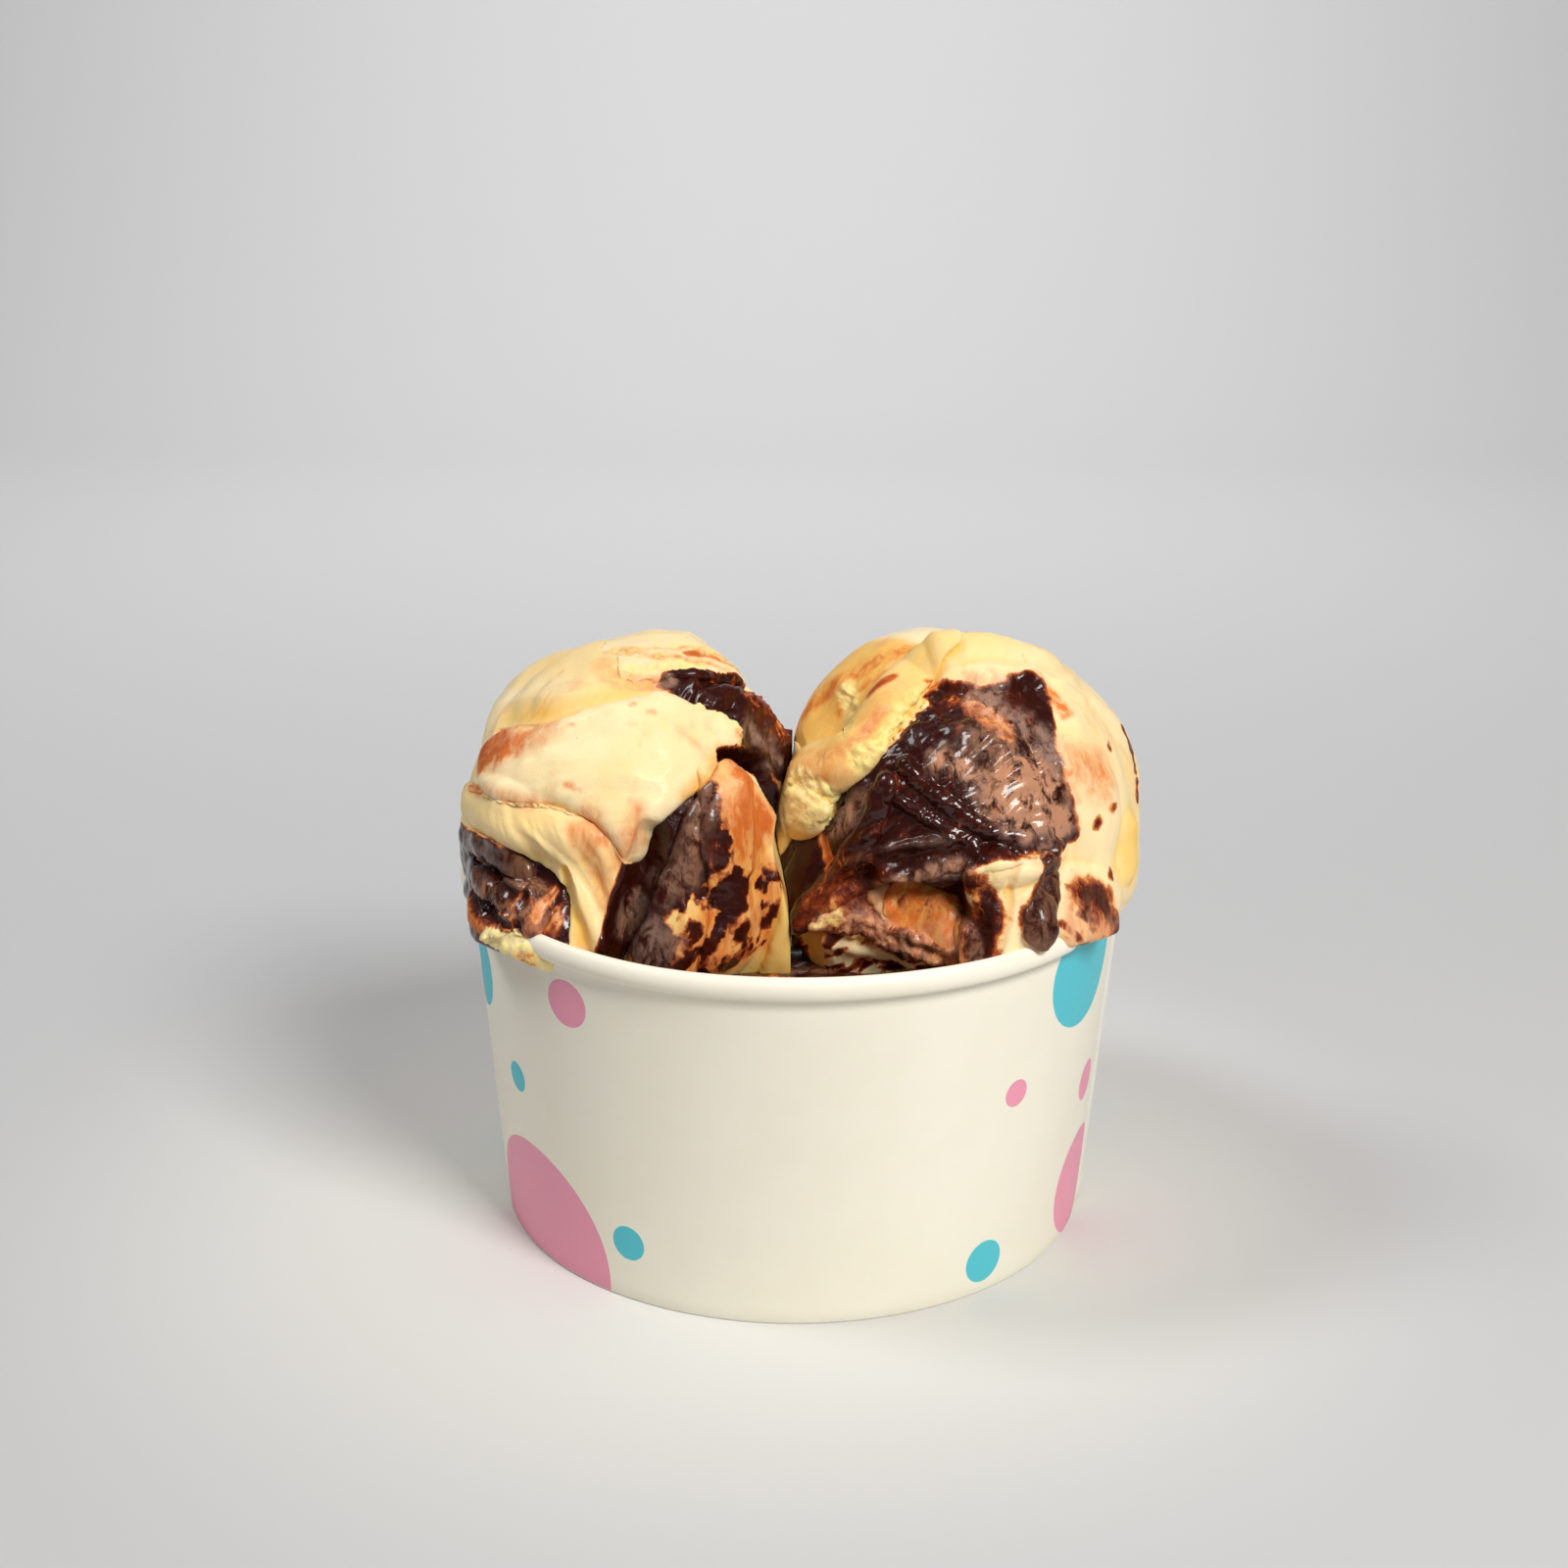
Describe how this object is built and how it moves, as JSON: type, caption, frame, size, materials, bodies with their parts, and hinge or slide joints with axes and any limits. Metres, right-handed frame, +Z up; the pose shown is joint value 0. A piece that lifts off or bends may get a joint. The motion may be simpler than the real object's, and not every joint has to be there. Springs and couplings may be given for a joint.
{
  "type": "gelato cup",
  "caption": "Round tapered paper cup with a rolled rim, filled with custard gelato and topped by two rounded scoops rippled with chocolate fudge.",
  "frame": {"origin": "centre of the cup's foot, on the surface that it stands on", "axes": "+Z up along the cup's axis; +X to the right, from the left scoop to the right scoop; -Y towards the viewer"},
  "size_m": [0.0962, 0.095, 0.0881],
  "materials": {
    "cup_paper": "coated paper, satin",
    "cup_board": "bare board, matt",
    "gelato_custard": "soft frozen custard, moist",
    "gelato_rippled": "custard with dark chocolate fudge ripple, moist to wet"
  },
  "bodies": {
    "root": {"cup_wall": "cup_paper", "cup_base": "cup_board", "gelato_bed": "gelato_custard", "gelato_left": "gelato_rippled", "gelato_right": "gelato_rippled"}
  },
  "joints": []
}
